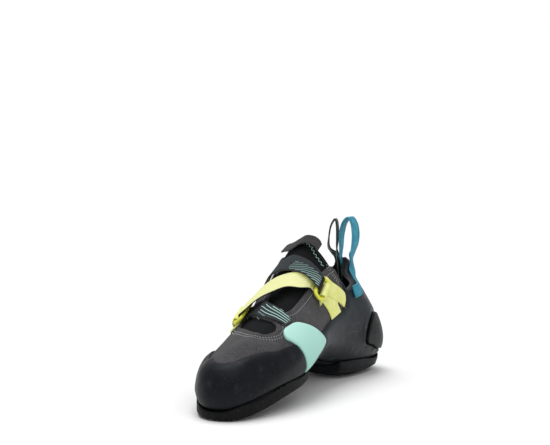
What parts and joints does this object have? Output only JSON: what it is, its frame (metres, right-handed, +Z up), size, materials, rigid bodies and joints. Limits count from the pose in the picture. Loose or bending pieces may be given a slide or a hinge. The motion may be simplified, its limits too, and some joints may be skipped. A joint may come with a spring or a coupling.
{
  "type": "climbing shoe",
  "caption": "Low-cut downturned climbing shoe for one foot, suede upper over a knit sock, rubber rands, half sole, and a strap crossing the instep through two rings",
  "frame": {"origin": "centre of the flat spot under the heel, on the floor plane", "axes": "+Z up, -Y towards the toe, +X towards the big-toe side of this right shoe"},
  "size_m": [0.08, 0.2388, 0.1233],
  "materials": {
    "suede": "warm grey napped suede",
    "knit": "black ribbed elastic knit",
    "footbed": "grey footbed cloth",
    "midsole": "dull black board under the foot",
    "toe_rubber": "blue-black satin rubber",
    "mint_rubber": "pale mint matt rubber",
    "heel_rubber": "blue-grey satin rubber",
    "patch_rubber": "dark satin rubber",
    "sole_rubber": "black sole rubber with a cut edge",
    "heel_sole_rubber": "black sole rubber",
    "yellow_webbing": "pale yellow tape",
    "strap_webbing": "dark grey woven tape with mint stripes, pale yellow reverse",
    "ring_plastic": "bright yellow moulded ring",
    "blue_webbing": "petrol blue woven tape",
    "black_webbing": "black woven tape with thin mint stripes",
    "tab_suede": "grey suede strip"
  },
  "bodies": {
    "root": {"upper": "suede", "knit_sock": "knit", "insole": "footbed", "midsole": "midsole", "toe_rand": "toe_rubber", "arch_band": "mint_rubber", "heel_rand": "heel_rubber", "heel_patch": "patch_rubber", "outsole_forefoot": "sole_rubber", "heel_sole": "heel_sole_rubber", "tab_medial": "yellow_webbing", "tab_lateral": "yellow_webbing", "strap": "strap_webbing", "ring_medial": "ring_plastic", "ring_lateral": "ring_plastic", "pull_loop_medial": "blue_webbing", "pull_loop_lateral": "black_webbing", "tongue_tab": "tab_suede"}
  },
  "joints": []
}
